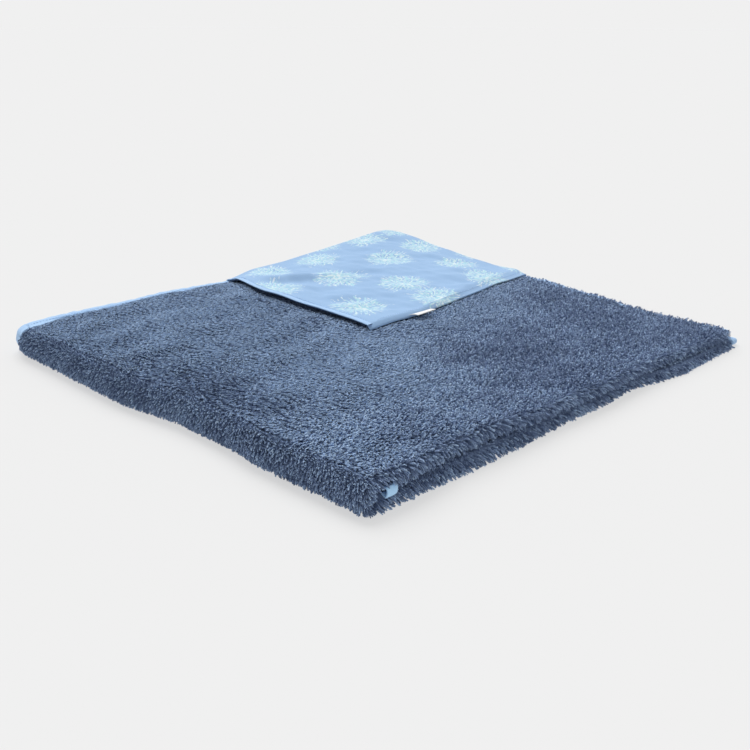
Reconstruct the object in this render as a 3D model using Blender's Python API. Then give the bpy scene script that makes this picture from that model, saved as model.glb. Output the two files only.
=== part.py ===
"""A hooded baby towel of terry cloth, folded twice into a flat packet, in metres, +Z up.

The towel is folded in half along +X (first fold) and in half again along -Y (last fold), so the
packet has four layers, two stacked folds on its +X side, one thick fold on its -Y side and bound
open edges on its -X and +Y sides. All four towel corners lie at (-X, +Y), with the hood on top.
The origin is on the underside, in the middle of the packet.
"""

import math

import bmesh
import bpy

# The packet: a towel of 750 x 800 mm folded in four
WIDTH = 0.375  # along X
LENGTH = 0.400  # along Y
STACK_LEFT = 0.021  # height of the four layers at the corner (-X, -Y)
STACK_FRONT = 0.021  # at (+X, -Y)
STACK_RIGHT = 0.0125  # at (+X, +Y)
STACK_BACK = 0.025  # at (-X, +Y)
GAP = 0.0003  # between pieces that touch
SLIT = 0.00025  # half the space between the two layers of one leaf

# The binding along the open edges, and the towel's rounded corner
BINDING_WIDTH = 0.008
CORNER_RADIUS = 0.018

# The hood panel over the corner (-X, +Y)
HOOD_WIDTH = 0.200  # along X
HOOD_LENGTH = 0.220  # along Y
HOOD_CORNER_RADIUS = 0.010
LINING_THICKNESS = 0.0014
HOOD_THICKNESS = 0.0024
HOOD_PUFF = 0.0045  # how much the seams at the towel's corners lift the hood there
PUFF_POWER = 0.8  # below 1, the lift spreads from the corner
MOUTH_BINDING_WIDTH = 0.004
MOUTH_BINDING_THICKNESS = 0.0044
MOUTH_BINDING_ROUNDING = 0.0012  # how far its upper edge draws in

# The label in the hood's side seam, and the hanging loop between the folds
LABEL_LENGTH = 0.024
LABEL_REACH = 0.0075
LABEL_THICKNESS = 0.0007
LABEL_FROM_CORNER = 0.169  # from the +Y side to the label's middle
LABEL_TILT = math.radians(14)
LABEL_LIFT = 0.0032  # from the terry to the seam that the label turns about
LABEL_ROOT = 0.0004  # from the seam to the label's own edge
LOOP_FROM_CORNER = 0.0158  # from the -Y side to the loop's middle
LOOP_WIDTH = 0.0075  # the tape's own width, along Y
LOOP_REACH = 0.0048
LOOP_THICKNESS = 0.0011
LOOP_HEIGHT = 0.0080  # of the oval that the bight would follow if its ends weren't closed up
LOOP_ROOT_INSET = 0.0010  # how far the loop's ends go in past the folds
LOOP_PINCH = 0.5  # how far the two ends close up between the folds
LOOP_PINCH_POWER = 6  # the higher, the nearer to the ends the closing stays

LEFT, RIGHT = -WIDTH / 2, WIDTH / 2
FRONT, BACK = -LENGTH / 2, LENGTH / 2
FOLD_RADIUS = (STACK_LEFT + STACK_FRONT) / 4
HINGE_Y = FRONT + FOLD_RADIUS
HINGE_Z = FOLD_RADIUS
TERRY_LEFT = LEFT + BINDING_WIDTH + GAP
TERRY_BACK = BACK - BINDING_WIDTH - GAP
TERRY_CORNER = CORNER_RADIUS - BINDING_WIDTH - GAP
ALONG = 7  # stations along a straight stretch
ARC = 8  # steps in a quarter turn of a large arc
NOSE = 10  # steps in the half turn of a fold
NOSE_TURN = math.radians(72)  # where the rounded end of the last fold is cut off

TERRY_BLUE = (0.115, 0.175, 0.290)
BINDING_BLUE = (0.370, 0.560, 0.780)
PRINT_BLUE = (0.400, 0.610, 0.840)
LINING_BLUE = (0.135, 0.200, 0.320)
LABEL_WHITE = (0.900, 0.900, 0.890)


def spread(low, high, count):
    """count + 1 evenly spaced values from low to high."""
    return [low + (high - low) * i / count for i in range(count + 1)]


def stack(x, y):
    """Height of the four layers at a point of the packet, between the heights at its corners."""
    s = min(max((x - LEFT) / WIDTH, 0), 1)
    t = min(max((y - HINGE_Y) / (BACK - HINGE_Y), 0), 1)
    near = STACK_LEFT * (1 - s) + STACK_FRONT * s
    far = STACK_BACK * (1 - s) + STACK_RIGHT * s
    return near * (1 - t) + far * t


def corner_inset(distance, radius):
    """How far a rounded corner draws the outline in, at a distance from the end of the straight."""
    inside = min(max(distance, 0), radius)
    return radius - math.sqrt(max(radius**2 - inside**2, 0))


def material(name, colour, roughness):
    """A dull cloth material with one colour."""
    made = bpy.data.materials.get(name)
    if made is None:
        made = bpy.data.materials.new(name)
        made.use_nodes = True
        shader = made.node_tree.nodes["Principled BSDF"]
        shader.inputs["Base Color"].default_value = (*colour, 1)
        shader.inputs["Roughness"].default_value = roughness
        shader.inputs["Metallic"].default_value = 0
    return made


def loft(name, rings, finish):
    """One closed solid through rings of points that all have the same count, capped at both ends."""
    mesh = bpy.data.meshes.new(name)
    bm = bmesh.new()
    made = [[bm.verts.new(point) for point in ring] for ring in rings]
    count = len(made[0])
    for ring, following in zip(made, made[1:]):
        for i in range(count):
            j = (i + 1) % count
            bm.faces.new((ring[i], ring[j], following[j], following[i]))
    bm.faces.new(made[0][::-1])
    bm.faces.new(made[-1])
    bmesh.ops.recalc_face_normals(bm, faces=bm.faces)
    bm.to_mesh(mesh)
    bm.free()
    mesh.shade_smooth()
    mesh.set_sharp_from_angle(angle=math.radians(40))
    mesh.materials.append(finish)
    made_object = bpy.data.objects.new(name, mesh)
    bpy.context.scene.collection.objects.link(made_object)
    return made_object


def leaf_section(y, base):
    """Two layers joined by the fold on their +X side, at one y. base is the share of the stack below."""
    inset = corner_inset(y - (TERRY_BACK - TERRY_CORNER), TERRY_CORNER)
    left = TERRY_LEFT + inset
    radius = stack(RIGHT, y) / 4
    centre = RIGHT - radius

    def height(x, share):
        return share * stack(x, y)

    lift = GAP if base > 0 else 0
    flat = spread(left, centre, ALONG)
    points = [(x, height(x, base) + lift) for x in flat]
    for turn in spread(-math.pi / 2, math.pi / 2, NOSE)[1:-1]:
        x = centre + radius * math.cos(turn)
        points.append((x, height(x, base + 0.25) + (radius - lift) * math.sin(turn)))
    points += [(x, height(x, base + 0.5) - (0 if base > 0 else GAP)) for x in reversed(flat)]
    points += [(x, height(x, base + 0.25) + SLIT) for x in flat]
    points += [(x, height(x, base + 0.25) - SLIT) for x in reversed(flat)]
    return [(x, y, z) for x, z in points]


def make_leaf(name, base, finish):
    """Half of the towel's terry, folded once: two layers and the fold between them."""
    straight = spread(HINGE_Y + GAP, TERRY_BACK - TERRY_CORNER, ALONG)
    rounded = [
        TERRY_BACK - TERRY_CORNER + TERRY_CORNER * math.sin(turn)
        for turn in spread(0, math.pi / 2, ARC)[1:]
    ]
    return loft(name, [leaf_section(y, base) for y in straight + rounded], finish)


def half_ring(x, outer, inner):
    """A half ring round the last fold's hinge line, on its -Y side, at one x."""
    turns = spread(-math.pi / 2, math.pi / 2, NOSE)
    rim = [(outer, turn) for turn in turns] + [(inner, turn) for turn in reversed(turns)]
    return [(x, HINGE_Y - r * math.cos(turn), HINGE_Z + r * math.sin(turn)) for r, turn in rim]


def make_fold(name, outer, inner, ends, rounded, finish):
    """The bend of the last fold between two x values; rounded is how long its tapered +X end is."""
    low, high = ends
    straight = [(x, 1.0) for x in spread(low, high - rounded, ALONG)]
    nose = [
        (high - rounded + rounded * math.sin(turn), math.cos(turn))
        for turn in spread(0, NOSE_TURN, ARC // 2)[1:]
    ]
    stations = straight + (nose if rounded else [])
    middle = (outer + inner) / 2
    rings = [
        half_ring(x, middle + (outer - middle) * share, inner + (middle - inner) * (1 - share) / 2)
        for x, share in stations
    ]
    return loft(name, rings, finish)


def edge_outline():
    """The bound edge of one layer seen from above, as (x, y, outward x, outward y)."""
    points = [(LEFT, y, -1, 0) for y in spread(HINGE_Y + GAP, BACK - CORNER_RADIUS, ALONG)]
    for turn in spread(0, math.pi / 2, ARC)[1:]:
        out_x, out_y = -math.cos(turn), math.sin(turn)
        x = LEFT + CORNER_RADIUS + CORNER_RADIUS * out_x
        y = BACK - CORNER_RADIUS + CORNER_RADIUS * out_y
        points.append((x, y, out_x, out_y))
    nose = stack(RIGHT, BACK) / 4
    points += [(x, BACK, 0, 1) for x in spread(LEFT + CORNER_RADIUS, RIGHT - nose, ALONG)[1:]]
    return points


def flat_binding_ring(station, low_share, high_share):
    """The binding's section on a flat layer, between two shares of the stack's height."""
    x, y, out_x, out_y = station
    inner_x, inner_y = x - BINDING_WIDTH * out_x, y - BINDING_WIDTH * out_y
    outer_height, inner_height = stack(x, y), stack(inner_x, inner_y)
    return [
        (x, y, low_share * outer_height + GAP),
        (x, y, high_share * outer_height - GAP),
        (inner_x, inner_y, high_share * inner_height - GAP),
        (inner_x, inner_y, low_share * inner_height + GAP),
    ]


def nose_binding_ring(base, turn):
    """The binding's section where it goes round the fold on the +X side."""
    radius = stack(RIGHT, BACK) / 4
    centre_x, centre_z = RIGHT - radius, (base + 0.25) * stack(RIGHT - radius, BACK)
    rim = [(BACK, radius - GAP), (BACK, GAP), (BACK - BINDING_WIDTH, GAP)]
    rim.append((BACK - BINDING_WIDTH, radius - GAP))
    return [
        (centre_x + r * math.cos(turn), y, centre_z + r * math.sin(turn)) for y, r in rim
    ]


def make_binding(name, base, finish):
    """The binding of one leaf: along the lower layer's edge, round the fold and back along the upper."""
    outline = edge_outline()
    rings = [flat_binding_ring(station, base, base + 0.25) for station in outline]
    rings += [
        nose_binding_ring(base, turn) for turn in spread(-math.pi / 2, math.pi / 2, NOSE)[1:-1]
    ]
    for station in reversed(outline):
        outer_low, outer_high, inner_high, inner_low = flat_binding_ring(
            station, base + 0.25, base + 0.5
        )
        rings.append([outer_high, outer_low, inner_low, inner_high])
    return loft(name, rings, finish)


def puff(x, y):
    """How much the hood stands up over the towel's bound corners."""
    s = min(max(1 - (x - LEFT) / HOOD_WIDTH, 0), 1)
    t = min(max(1 - (BACK - y) / HOOD_LENGTH, 0), 1)
    return HOOD_PUFF * (s * t) ** PUFF_POWER


def hood_section(y, low, high):
    """A section across the hood, between two heights above the terry that are functions of x and y."""
    far = corner_inset(y - (BACK - CORNER_RADIUS), CORNER_RADIUS)
    near = corner_inset((BACK - HOOD_LENGTH + HOOD_CORNER_RADIUS) - y, HOOD_CORNER_RADIUS)
    across = spread(LEFT + far, LEFT + HOOD_WIDTH - near, 2 * ALONG)
    under = [(x, y, stack(x, y) + low(x, y)) for x in across]
    over = [(x, y, stack(x, y) + high(x, y)) for x in reversed(across)]
    return under + over


def make_hood_layer(name, low, high, finish):
    """One layer of the hood, as a sheet with thickness over the towel's corner."""
    start = BACK - HOOD_LENGTH
    turns = spread(0, math.pi / 2, ARC)
    near = [start + HOOD_CORNER_RADIUS * (1 - math.cos(turn)) for turn in turns]
    straight = spread(near[-1], BACK - CORNER_RADIUS, 2 * ALONG)[1:-1]
    far = [BACK - CORNER_RADIUS * (1 - math.sin(turn)) for turn in turns]
    return loft(name, [hood_section(y, low, high) for y in near + straight + far], finish)


def make_mouth_binding(finish):
    """The binding along the hood's free edge, which is the mouth of the hood."""
    high_y = BACK - HOOD_LENGTH - GAP
    low_y = high_y - MOUTH_BINDING_WIDTH
    rings = []
    for x in spread(LEFT + GAP, LEFT + HOOD_WIDTH - HOOD_CORNER_RADIUS, 2 * ALONG):
        base = stack(x, low_y)
        rings.append(
            [
                (x, low_y + MOUTH_BINDING_ROUNDING / 2, base + GAP),
                (x, high_y, base + GAP),
                (x, high_y, base + MOUTH_BINDING_THICKNESS),
                (x, low_y + MOUTH_BINDING_ROUNDING, base + MOUTH_BINDING_THICKNESS),
                (x, low_y, base + MOUTH_BINDING_THICKNESS / 2),
            ]
        )
    return loft("hood_mouth_binding", rings, finish)


def make_label(finish):
    """A blank woven label that stands out of the hood's side seam and rises a little."""
    seam_x = LEFT + HOOD_WIDTH + GAP
    middle_y = BACK - LABEL_FROM_CORNER
    seam_z = stack(seam_x, middle_y) + LABEL_LIFT
    across = spread(LABEL_ROOT, LABEL_REACH, ALONG)
    outline = [(along, 0) for along in across] + [(along, -1) for along in reversed(across)]
    rings = []
    for y in spread(middle_y - LABEL_LENGTH / 2, middle_y + LABEL_LENGTH / 2, ALONG):
        ring = []
        for along, side in outline:
            x = seam_x + along * math.cos(LABEL_TILT) - side * LABEL_THICKNESS * math.sin(LABEL_TILT)
            z = seam_z + along * math.sin(LABEL_TILT) + side * LABEL_THICKNESS * math.cos(LABEL_TILT)
            ring.append((x, y, z))
        rings.append(ring)
    return loft("woven_label", rings, finish)


def make_loop(finish):
    """The hanging loop: a bight of tape that comes out between the two folds and goes back in."""
    rings = []
    root_x = RIGHT - LOOP_ROOT_INSET
    middle_y = FRONT + LOOP_FROM_CORNER
    middle_z = stack(RIGHT, middle_y) / 2
    for turn in spread(-math.pi / 2, math.pi / 2, 2 * ARC):
        closing = 1 - LOOP_PINCH * abs(math.sin(turn)) ** LOOP_PINCH_POWER
        ring = []
        for inset, side in ((0, -1), (0, 1), (LOOP_THICKNESS, 1), (LOOP_THICKNESS, -1)):
            x = root_x + (LOOP_REACH - inset) * math.cos(turn)
            z = middle_z + (LOOP_HEIGHT / 2 - inset) * math.sin(turn) * closing
            ring.append((x, middle_y - side * LOOP_WIDTH / 2, z))
        rings.append(ring)
    return loft("hanging_loop", rings, finish)


def main():
    for old in list(bpy.data.objects):
        bpy.data.objects.remove(old)

    terry = material("terry", TERRY_BLUE, 0.95)
    binding = material("binding", BINDING_BLUE, 0.85)
    printed = material("printed_jersey", PRINT_BLUE, 0.85)
    lining = material("hood_lining", LINING_BLUE, 0.95)
    label = material("label", LABEL_WHITE, 0.7)

    make_leaf("terry_lower_leaf", 0, terry)
    make_leaf("terry_upper_leaf", 0.5, terry)
    nose = stack(RIGHT, FRONT) / 4
    layer = FOLD_RADIUS / 2
    terry_ends = (TERRY_LEFT, RIGHT)
    make_fold("terry_outer_fold", FOLD_RADIUS, layer + GAP, terry_ends, nose, terry)
    inner_ends = (TERRY_LEFT, RIGHT - nose)
    make_fold("terry_inner_fold", layer - GAP, SLIT, inner_ends, 0, terry)

    make_binding("binding_lower_leaf", 0, binding)
    make_binding("binding_upper_leaf", 0.5, binding)
    bound_ends = (LEFT, LEFT + BINDING_WIDTH)
    make_fold("binding_outer_fold", FOLD_RADIUS - GAP, layer + GAP, bound_ends, 0, binding)
    make_fold("binding_inner_fold", layer - GAP, SLIT, bound_ends, 0, binding)

    make_hood_layer(
        "hood_lining",
        lambda x, y: GAP,
        lambda x, y: GAP + LINING_THICKNESS + puff(x, y),
        lining,
    )
    make_hood_layer(
        "hood_printed_panel",
        lambda x, y: 2 * GAP + LINING_THICKNESS + puff(x, y),
        lambda x, y: 2 * GAP + LINING_THICKNESS + HOOD_THICKNESS + puff(x, y),
        printed,
    )
    make_mouth_binding(binding)
    make_label(label)
    make_loop(binding)


main()
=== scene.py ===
"""The looks of a folded hooded baby towel: looped terry, bound edges, and a printed hood."""

import math

import bpy
import numpy as np
from mathutils import Matrix, Vector


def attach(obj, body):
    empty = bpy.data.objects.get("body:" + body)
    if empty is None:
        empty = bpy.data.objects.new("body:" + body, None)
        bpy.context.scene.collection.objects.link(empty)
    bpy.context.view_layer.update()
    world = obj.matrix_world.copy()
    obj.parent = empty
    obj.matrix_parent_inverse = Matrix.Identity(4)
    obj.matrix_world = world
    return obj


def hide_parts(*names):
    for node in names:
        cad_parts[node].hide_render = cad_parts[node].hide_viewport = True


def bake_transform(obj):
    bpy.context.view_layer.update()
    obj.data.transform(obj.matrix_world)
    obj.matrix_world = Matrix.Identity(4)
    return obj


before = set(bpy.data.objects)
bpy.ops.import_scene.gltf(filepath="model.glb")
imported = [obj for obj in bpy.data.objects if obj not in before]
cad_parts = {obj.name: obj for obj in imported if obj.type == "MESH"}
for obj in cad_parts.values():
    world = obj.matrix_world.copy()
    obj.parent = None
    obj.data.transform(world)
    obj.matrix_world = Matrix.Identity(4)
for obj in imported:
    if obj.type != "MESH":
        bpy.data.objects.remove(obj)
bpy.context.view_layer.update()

LOWER, UPPER, LABEL = "lower_leaf", "upper_leaf", "label"

# The packet, as in the CAD (metres)
WIDTH, LENGTH = 0.375, 0.400
STACK_LEFT, STACK_FRONT, STACK_RIGHT, STACK_BACK = 0.021, 0.021, 0.0125, 0.025
BINDING_WIDTH, CORNER_RADIUS = 0.008, 0.018
LEFT, RIGHT = -WIDTH / 2, WIDTH / 2
FRONT, BACK = -LENGTH / 2, LENGTH / 2
FOLD_RADIUS = 0.0105
HINGE_Y, HINGE_Z = FRONT + FOLD_RADIUS, FOLD_RADIUS
HOOD_LIFT = 0.0044
HOOD_PUFF, PUFF_POWER = 0.0045, 0.8
HOOD_WIDTH, HOOD_LENGTH = 0.200, 0.220
CLOTH_THICKNESS = 0.0014  # the terry's ground cloth

# The pile
PILE = 0.0026  # how deep its roots lie under the packet's outside
INNER_PILE, UNDER_PILE = 0.0016, 0.0022  # the same between the leaves, and underneath
TOP_LOOP, SIDE_LOOP, FOLD_LOOP = 0.0033, 0.0041, 0.0031  # the height of a loop
STATIONS = 4  # points along a loop
PIECE_LOOPS = 10800  # loops in one merged piece
FLOOR_GAP = 0.0006  # the lowest that the middle of a yarn goes
YARN, COARSE_YARN = 0.00034, 0.00058  # the yarn's radius
PITCH = 0.00134  # from loop to loop on the faces that show
INNER_PITCH, UNDER_PITCH = 0.0031, 0.0028  # the same between the leaves, and underneath
LEG_SHADE = 1  # how many shades darker the legs of a loop are than its crown

# The tape and the thread
TAPE_FILL = 0.93  # how much of a layer's height the tape round it takes
FOLD_TAPE_WIDTH = 0.0135
STITCH = 0.0026  # from stitch to stitch
THREAD = 0.00022  # its radius

LOOP_Y, LOOP_Z = FRONT + 0.0158, 0.0108  # the middle of the hanging loop
LABEL_FROM_BACK = 0.169  # to the label's middle


# ---------------------------------------------------------------- shapes of the packet


def waves(u, v, size, seed, terms=7):
    """Smooth unevenness with a spread of about one, from a few sine waves of about that size."""
    random = np.random.default_rng(seed)
    total = np.zeros(np.broadcast(u, v).shape)
    for _ in range(terms):
        way, phase = random.uniform(0, 2 * math.pi, 2)
        k = 2 * math.pi / size * random.uniform(0.6, 1.6)
        total += np.sin(k * (np.cos(way) * u + np.sin(way) * v) + phase)
    return total / math.sqrt(terms / 2)


def smooth(t):
    """A smooth step from 0 at 0 to 1 at 1."""
    t = np.clip(t, 0, 1)
    return t * t * (3 - 2 * t)


def bell(v, middle, wide):
    return np.exp(-(((v - middle) / wide) ** 2))


def from_table(table, place):
    """A table of (place, millimetres), read at these places, in metres."""
    return np.interp(place, *np.array(table).T) * 0.001


def run_along(path):
    """How far each point is along a path."""
    return np.concatenate([[0], np.cumsum(np.linalg.norm(np.diff(path, axis=0), axis=1))])


def stack(x, y):
    """The packet's height."""
    s = np.clip((np.asarray(x, float) - LEFT) / WIDTH, 0, 1)
    t = np.clip((np.asarray(y, float) - HINGE_Y) / (BACK - HINGE_Y), 0, 1)
    near = STACK_LEFT * (1 - s) + STACK_FRONT * s
    far = STACK_BACK * (1 - s) + STACK_RIGHT * s
    return near * (1 - t) + far * t


# How far the packet sinks along its two bound sides (place along the side, millimetres down)
SINK_LEFT = [
    (-0.2, 2.2), (-0.06, 2.6), (-0.02, 4.6), (0.0, 5.6), (0.06, 5.0), (0.10, 3.4), (0.14, 0.8),
    (0.2, -1.4),
]
SINK_BACK = [
    (-0.187, -1.4), (-0.15, 0.4), (-0.12, 2.2), (-0.08, 4.4), (-0.05, 4.9), (-0.02, 3.0), (0.007, 0.7),
    (0.03, 1.6), (0.07, 3.0), (0.11, 5.6), (0.15, 4.2), (0.187, 0.8),
]


# How far the side of the last fold bulges (place along it, millimetres outwards)
BULGE_FRONT = [
    (-0.187, 1.0), (-0.16, 6.4), (-0.13, 6.4), (-0.07, 6.8), (-0.03, 7.6), (-0.003, 4.6), (0.02, 1.0),
    (0.05, 0.4), (0.075, 1.0), (0.10, 4.2), (0.13, 4.4), (0.16, 3.4), (0.178, 3.4), (0.187, 2.4),
]


def settle(points):
    """The packet's softness: sides that wander, edges that sink a little, a top that isn't flat."""
    x, y, z = points[:, 0], points[:, 1], points[:, 2]
    height = stack(x, y)
    share = np.clip(z / height, 0, 1)
    right = smooth((x - (RIGHT - 0.05)) / 0.05)
    front = smooth(((FRONT + 0.05) - y) / 0.05)
    left = smooth(((LEFT + 0.06) - x) / 0.06)
    back = smooth((y - (BACK - 0.06)) / 0.06)
    above = smooth((share - 0.42) / 0.16)
    past_fold = smooth((y + 0.175) / 0.05)
    wander = (1 - above) * (0.0007 * waves(y, 0 * y, 0.17, 11) - 0.0042 * bell(y, 0.01, 0.08))
    wander += (1 - above) * (0.0042 * bell(y, 0.100, 0.034) - 0.0024 * bell(y, 0.05, 0.02))
    wander += above * (0.0008 * waves(y, 0 * y, 0.14, 12) - 0.0030 * past_fold)
    moved = points.copy()
    moved[:, 0] += right * wander + left * 0.0005 * waves(y, 0.4 * share, 0.22, 13)
    bulge = from_table(BULGE_FRONT, x)
    moved[:, 1] += front * (0.0004 * waves(x, 0.3 * share, 0.16, 14) - bulge)
    moved[:, 1] += back * (0.0005 * waves(x, 0.4 * share, 0.22, 15) - 0.0025 * smooth((x + 0.02) / 0.1))
    # the rounded corners of the packet
    end = smooth((x - (RIGHT - 0.022)) / 0.022) * smooth((y - (BACK - 0.022)) / 0.022)
    moved[:, 0] -= (0.0020 + 0.0030 * above) * end
    moved[:, 1] -= 0.0040 * end
    end = smooth(((LEFT + 0.022) - x) / 0.022) * smooth(((FRONT + 0.020) - y) / 0.020)
    moved[:, 0] += 0.0042 * end
    lift = 0.00045 * waves(x, y, 0.10, 16) + 0.00030 * waves(x, y, 0.05, 17)
    sink = left * from_table(SINK_LEFT, y)
    sink_back = back * from_table(SINK_BACK, x)
    both = left * back
    sink = sink * (1 - 0.5 * both) + sink_back * (1 - 0.5 * both) + 0.0006 * front
    moved[:, 2] += share * (lift * (1 - 0.7 * np.maximum(left, back)) - sink)
    moved[:, 2] = np.maximum(moved[:, 2], 0.0001)
    return moved


def puff(x, y):
    """How far the seams at the towel's corners lift the hood."""
    s = np.clip(1 - (x - LEFT) / HOOD_WIDTH, 0, 1)
    t = np.clip(1 - (BACK - y) / HOOD_LENGTH, 0, 1)
    return HOOD_PUFF * (s * t) ** PUFF_POWER


# ---------------------------------------------------------------- meshes


def mesh_object(name, points, faces, materials, slots=None):
    """A mesh object from an array of points and an array, or a list, of faces with equal counts."""
    faces = np.asarray(faces, np.int32)
    points = np.ascontiguousarray(points, np.float32)
    sides = faces.shape[1]
    mesh = bpy.data.meshes.new(name)
    mesh.vertices.add(len(points))
    mesh.vertices.foreach_set("co", points.ravel())
    mesh.loops.add(faces.size)
    mesh.loops.foreach_set("vertex_index", faces.ravel())
    mesh.polygons.add(len(faces))
    mesh.polygons.foreach_set("loop_start", np.arange(0, faces.size, sides, dtype=np.int32))
    if slots is not None:
        mesh.polygons.foreach_set("material_index", np.asarray(slots, np.int32))
    mesh.update(calc_edges=True)
    mesh.shade_smooth()
    for material in materials:
        mesh.materials.append(material)
    made = bpy.data.objects.new(name, mesh)
    bpy.context.scene.collection.objects.link(made)
    return made


def grid_faces(rows, columns, closed=False):
    """Quads of a grid of rows by columns points; closed joins the last column to the first."""
    i, j = np.meshgrid(np.arange(rows - 1), np.arange(columns if closed else columns - 1), indexing="ij")
    row, k = i * columns, (j + 1) % columns
    return np.stack([row + j, row + k, row + columns + k, row + columns + j], -1).reshape(-1, 4)


# ---------------------------------------------------------------- materials


def cloth(name, colour, roughness=0.95, sheen=0.25, tint=None):
    """A cloth material with one colour."""
    material = bpy.data.materials.new(name)
    material.use_nodes = True
    shader = material.node_tree.nodes["Principled BSDF"]
    shader.inputs["Base Color"].default_value = (*colour, 1)
    shader.inputs["Roughness"].default_value = roughness
    shader.inputs["Specular IOR Level"].default_value = 0.12
    shader.inputs["Sheen Weight"].default_value = sheen
    shader.inputs["Sheen Roughness"].default_value = 0.55
    shader.inputs["Sheen Tint"].default_value = (*(tint or colour), 1)
    material.diffuse_color = (*colour, 1)
    return material


class Nodes:
    """A short way to write a node tree."""

    def __init__(self, material):
        self.tree = material.node_tree
        self.shader = self.tree.nodes["Principled BSDF"]

    def add(self, kind, **settings):
        node = self.tree.nodes.new(kind)
        for key, value in settings.items():
            setattr(node, key, value)
        return node

    def put(self, value, socket):
        if isinstance(value, bpy.types.NodeSocket):
            self.tree.links.new(value, socket)
        else:
            socket.default_value = value

    def math(self, operation, *values, clamp=False):
        node = self.add("ShaderNodeMath", operation=operation, use_clamp=clamp)
        for value, socket in zip(values, node.inputs):
            self.put(value, socket)
        return node.outputs[0]

    def times(self, *values):
        product = values[0]
        for value in values[1:]:
            product = self.math("MULTIPLY", product, value)
        return product

    def plus(self, a, b):
        return self.math("ADD", a, b)

    def less(self, a, b):
        return self.math("SUBTRACT", a, b)

    def split(self, vector):
        node = self.add("ShaderNodeSeparateXYZ")
        self.put(vector, node.inputs[0])
        return node.outputs

    def joined(self, *values):
        node = self.add("ShaderNodeCombineXYZ")
        for value, socket in zip(values, node.inputs):
            self.put(value, socket)
        return node.outputs[0]

    def paint(self, colour):
        self.put(colour, self.shader.inputs["Base Color"])

    def mix(self, share, a, b):
        node = self.add("ShaderNodeMix", data_type="RGBA")
        self.put(share, node.inputs["Factor"])
        self.put((*a, 1) if isinstance(a, tuple) else a, node.inputs[6])
        self.put((*b, 1) if isinstance(b, tuple) else b, node.inputs[7])
        return node.outputs[2]

    def noise(self, vector, scale, detail=2.0, roughness=0.5):
        node = self.add("ShaderNodeTexNoise")
        self.put(vector, node.inputs["Vector"])
        node.inputs["Scale"].default_value = scale
        node.inputs["Detail"].default_value = detail
        node.inputs["Roughness"].default_value = roughness
        return node.outputs["Fac"]

    def ramp(self, value, low, high):
        node = self.add("ShaderNodeMapRange", interpolation_type="SMOOTHSTEP")
        self.put(value, node.inputs["Value"])
        node.inputs["From Min"].default_value = low
        node.inputs["From Max"].default_value = high
        return node.outputs["Result"]

    def fall(self, value, low, high):
        return self.less(1.0, self.ramp(value, low, high))

    def bump(self, height, strength, distance):
        node = self.add("ShaderNodeBump")
        node.inputs["Strength"].default_value = strength
        node.inputs["Distance"].default_value = distance
        self.put(height, node.inputs["Height"])
        self.tree.links.new(node.outputs["Normal"], self.shader.inputs["Normal"])


# From dark to light: besides the yarn's chance tones, the darker and lighter colours are painted shade and
# painted light, picked per loop by shades_for
PILE_COLOURS = [
    (0.098, 0.146, 0.262),
    (0.160, 0.225, 0.376),
    (0.232, 0.316, 0.498),
    (0.336, 0.463, 0.672),
    (0.443, 0.592, 0.812),
    (0.560, 0.722, 0.930),
]
pile_materials = [
    cloth(f"pile_{i}", colour, sheen=0.15, tint=(0.5, 0.6, 0.8)) for i, colour in enumerate(PILE_COLOURS)
]

# The ground cloth is painted darker than the yarn, as painted shade deep between the loops
ground = cloth("terry_ground", (0.130, 0.185, 0.300))
n = Nodes(ground)
place = n.add("ShaderNodeTexCoord").outputs["Object"]
n.paint(n.mix(n.noise(place, 900, 3), (0.110, 0.160, 0.265), (0.165, 0.225, 0.355)))
n.bump(n.noise(place, 1400, 2), 0.6, 0.0004)

TAPE_BLUE = (0.365, 0.550, 0.800)
tape = cloth("tape", TAPE_BLUE, 0.85, 0.2, (0.8, 0.9, 1.0))
n = Nodes(tape)
place = n.add("ShaderNodeTexCoord").outputs["Object"]
knit = n.add("ShaderNodeTexWave", wave_type="BANDS", bands_direction="DIAGONAL")
n.put(place, knit.inputs["Vector"])
knit.inputs["Scale"].default_value = 420
knit.inputs["Distortion"].default_value = 1.2
knit.inputs["Detail"].default_value = 1
n.paint(n.mix(n.noise(place, 60, 3), (0.330, 0.505, 0.760), (0.400, 0.590, 0.840)))
n.bump(knit.outputs["Fac"], 0.5, 0.00025)

# The hanging loop's tape is painted lighter than the other tape, as painted light on it
lit_loop_tape = cloth("lit_loop_tape", (0.455, 0.715, 1.000), 0.85, 0.2, (0.8, 0.9, 1.0))
thread = cloth("sewing_thread", (0.440, 0.640, 0.900), 0.6, 0.1, (0.8, 0.9, 1.0))
white_label = cloth("label_satin", (0.82, 0.82, 0.80), 0.55, 0.15, (1, 1, 1))
n = Nodes(white_label)
place = n.add("ShaderNodeTexCoord").outputs["Object"]
weave = n.add("ShaderNodeTexWave", wave_type="BANDS", bands_direction="Y")
n.put(place, weave.inputs["Vector"])
weave.inputs["Scale"].default_value = 700
n.paint(n.mix(weave.outputs["Fac"], (0.76, 0.76, 0.74), (0.86, 0.86, 0.845)))
n.bump(weave.outputs["Fac"], 0.4, 0.0001)


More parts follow.
